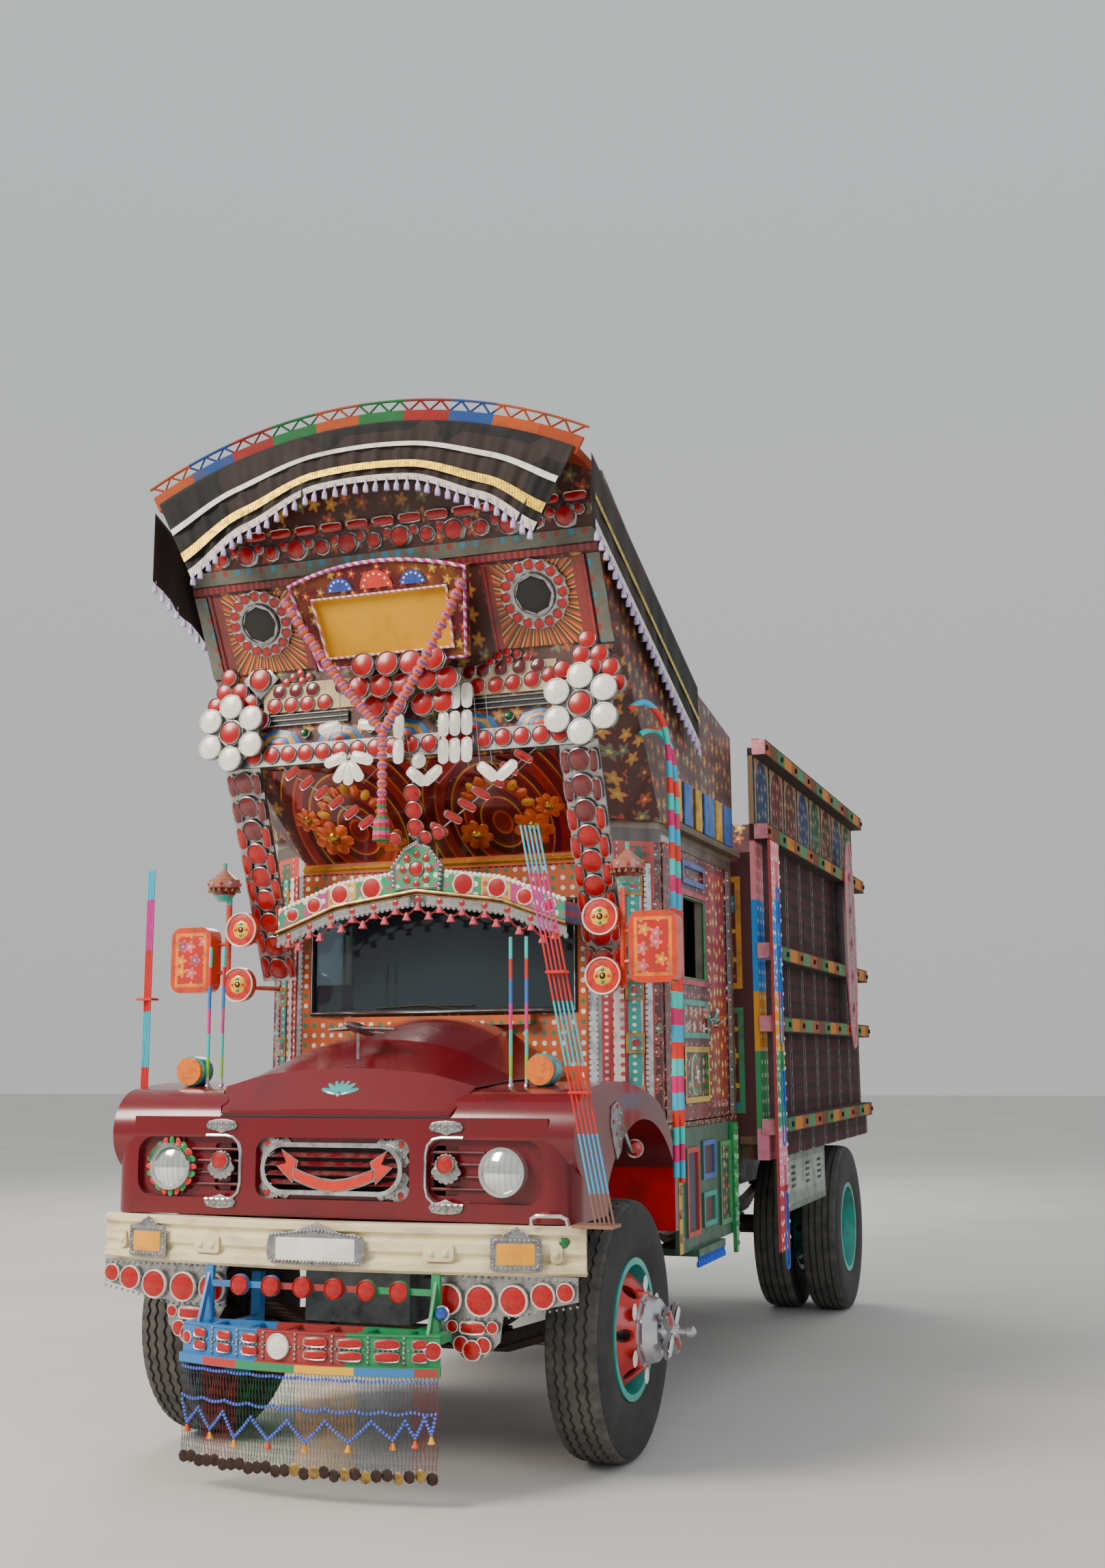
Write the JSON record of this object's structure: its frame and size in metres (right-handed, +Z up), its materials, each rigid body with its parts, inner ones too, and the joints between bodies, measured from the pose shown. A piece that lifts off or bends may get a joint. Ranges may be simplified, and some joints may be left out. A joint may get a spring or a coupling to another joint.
{
  "type": "decorated truck",
  "caption": "Bonneted two-axle truck with a carved and painted load body, a tall prow over the cab, reflector work, a chain fringe, steering, wheels, doors, bonnet and tailgate that move.",
  "frame": {"origin": "on the ground, under the middle of the truck's box without the free hoses", "axes": "+Z up, the truck's nose along -Y, its left side along +X"},
  "size_m": [2.51, 6.1609, 4.3758],
  "materials": {
    "frame_paint": "satin",
    "spring_steel": "satin",
    "axle_iron": "matte",
    "engine_paint": "matte",
    "radiator_core": "satin",
    "tank_paint": "gloss",
    "bumper_paint": "gloss",
    "maroon_paint": "gloss",
    "chrome_trim": "polished",
    "lamp_glass": "polished",
    "cab_paint": "gloss",
    "screen_glass": "polished",
    "dash_wood": "gloss",
    "wheel_plastic": "satin",
    "seat_cloth": "matte",
    "door_wood": "gloss",
    "prow_wood": "gloss",
    "arch_paint": "gloss",
    "sign_paint": "gloss",
    "reflector_red": "polished",
    "brow_paint": "gloss",
    "mirror_paint": "gloss",
    "lamp_amber": "polished",
    "rod_paint": "gloss",
    "rack_paint": "gloss",
    "chain_steel": "satin",
    "tin_plate": "satin",
    "deck_wood": "matte",
    "side_wood": "satin",
    "skirt_paint": "satin",
    "black_cloth": "matte",
    "bead_plastic": "gloss",
    "hose_rubber": "satin",
    "tyre_rubber": "matte",
    "rim_paint": "gloss"
  },
  "bodies": {
    "truck": {"chassis_frame": "frame_paint", "tow_jaw": "frame_paint", "leaf_springs": "spring_steel", "front_axle": "axle_iron", "rear_axle": "axle_iron", "engine_block": "engine_paint", "radiator": "radiator_core", "propshaft": "spring_steel", "fuel_tank": "tank_paint", "front_bumper": "bumper_paint", "nose_panel": "maroon_paint", "grille": "chrome_trim", "headlamps": "lamp_glass", "wing_left": "maroon_paint", "wing_right": "maroon_paint", "cab_shell": "cab_paint", "windscreen": "screen_glass", "dashboard": "dash_wood", "steering_wheel": "wheel_plastic", "cab_seats": "seat_cloth", "crown_shell": "prow_wood", "crown_arch": "arch_paint", "sign_board": "sign_paint", "rosettes": "reflector_red", "reflector_work": "reflector_red", "brow": "brow_paint", "mirrors": "mirror_paint", "wing_lamps": "lamp_amber", "antenna_rods": "rod_paint", "front_rack": "rack_paint", "chain_fringe": "chain_steel", "tin_skirts": "tin_plate", "load_deck": "deck_wood", "load_side_left": "side_wood", "load_side_right": "side_wood", "headboard": "side_wood", "rear_frame": "side_wood", "side_skirts": "skirt_paint", "front_valance": "black_cloth", "side_curtains": "black_cloth", "bead_garland": "bead_plastic", "striped_hoses": "hose_rubber"},
    "knuckle_left": {"knuckle_left": "axle_iron"},
    "knuckle_right": {"knuckle_right": "axle_iron"},
    "track_rod": {"track_rod": "axle_iron"},
    "wheel_front_left": {"tyre_front_left": "tyre_rubber", "rim_front_left": "rim_paint"},
    "wheel_front_right": {"tyre_front_right": "tyre_rubber", "rim_front_right": "rim_paint"},
    "wheels_rear_left": {"tyres_rear_left": "tyre_rubber", "rims_rear_left": "rim_paint"},
    "wheels_rear_right": {"tyres_rear_right": "tyre_rubber", "rims_rear_right": "rim_paint"},
    "door_left": {"door_left": "door_wood"},
    "door_right": {"door_right": "door_wood"},
    "bonnet": {"bonnet": "maroon_paint"},
    "tailgate": {"tailgate": "side_wood"}
  },
  "joints": [
    {"name": "steer_left", "type": "hinge", "parent": "truck", "child": "knuckle_left", "pos_m": [0.75, -2.0775, 0.51], "axis": [0, 0, 1], "range_deg": [-30, 30]},
    {"name": "steer_right", "type": "hinge", "parent": "truck", "child": "knuckle_right", "pos_m": [-0.75, -2.0775, 0.51], "axis": [0, 0, 1], "range_deg": [-30, 30]},
    {"name": "track_rod_pivot", "type": "hinge", "parent": "knuckle_left", "child": "track_rod", "pos_m": [0.75, -1.8775, 0.403], "axis": [0, 0, 1], "range_deg": [-30, 30]},
    {"name": "wheel_front_left_spin", "type": "hinge", "parent": "knuckle_left", "child": "wheel_front_left", "pos_m": [0.897, -2.0775, 0.51], "axis": [1, 0, 0], "continuous": true},
    {"name": "wheel_front_right_spin", "type": "hinge", "parent": "knuckle_right", "child": "wheel_front_right", "pos_m": [-0.897, -2.0775, 0.51], "axis": [1, 0, 0], "continuous": true},
    {"name": "wheels_rear_left_spin", "type": "hinge", "parent": "truck", "child": "wheels_rear_left", "pos_m": [0.8875, 2.1625, 0.51], "axis": [1, 0, 0], "continuous": true},
    {"name": "wheels_rear_right_spin", "type": "hinge", "parent": "truck", "child": "wheels_rear_right", "pos_m": [-0.8875, 2.1625, 0.51], "axis": [1, 0, 0], "continuous": true},
    {"name": "door_left_hinge", "type": "hinge", "parent": "truck", "child": "door_left", "pos_m": [0.997, -1.5215, 1.93], "axis": [0, 0, -1], "range_deg": [0, 70]},
    {"name": "door_right_hinge", "type": "hinge", "parent": "truck", "child": "door_right", "pos_m": [-0.997, -1.5215, 1.93], "axis": [0, 0, 1], "range_deg": [0, 70]},
    {"name": "bonnet_hinge", "type": "hinge", "parent": "truck", "child": "bonnet", "pos_m": [0, -1.8415, 1.788], "axis": [-1, 0, 0], "range_deg": [0, 45]},
    {"name": "tailgate_hinge", "type": "hinge", "parent": "truck", "child": "tailgate", "pos_m": [0, 3.0845, 1.176], "axis": [-1, 0, 0], "range_deg": [0, 175]}
  ],
  "couplings": [
    {"joint": "steer_right", "follows": "steer_left", "ratio": 1},
    {"joint": "track_rod_pivot", "follows": "steer_left", "ratio": -1}
  ]
}
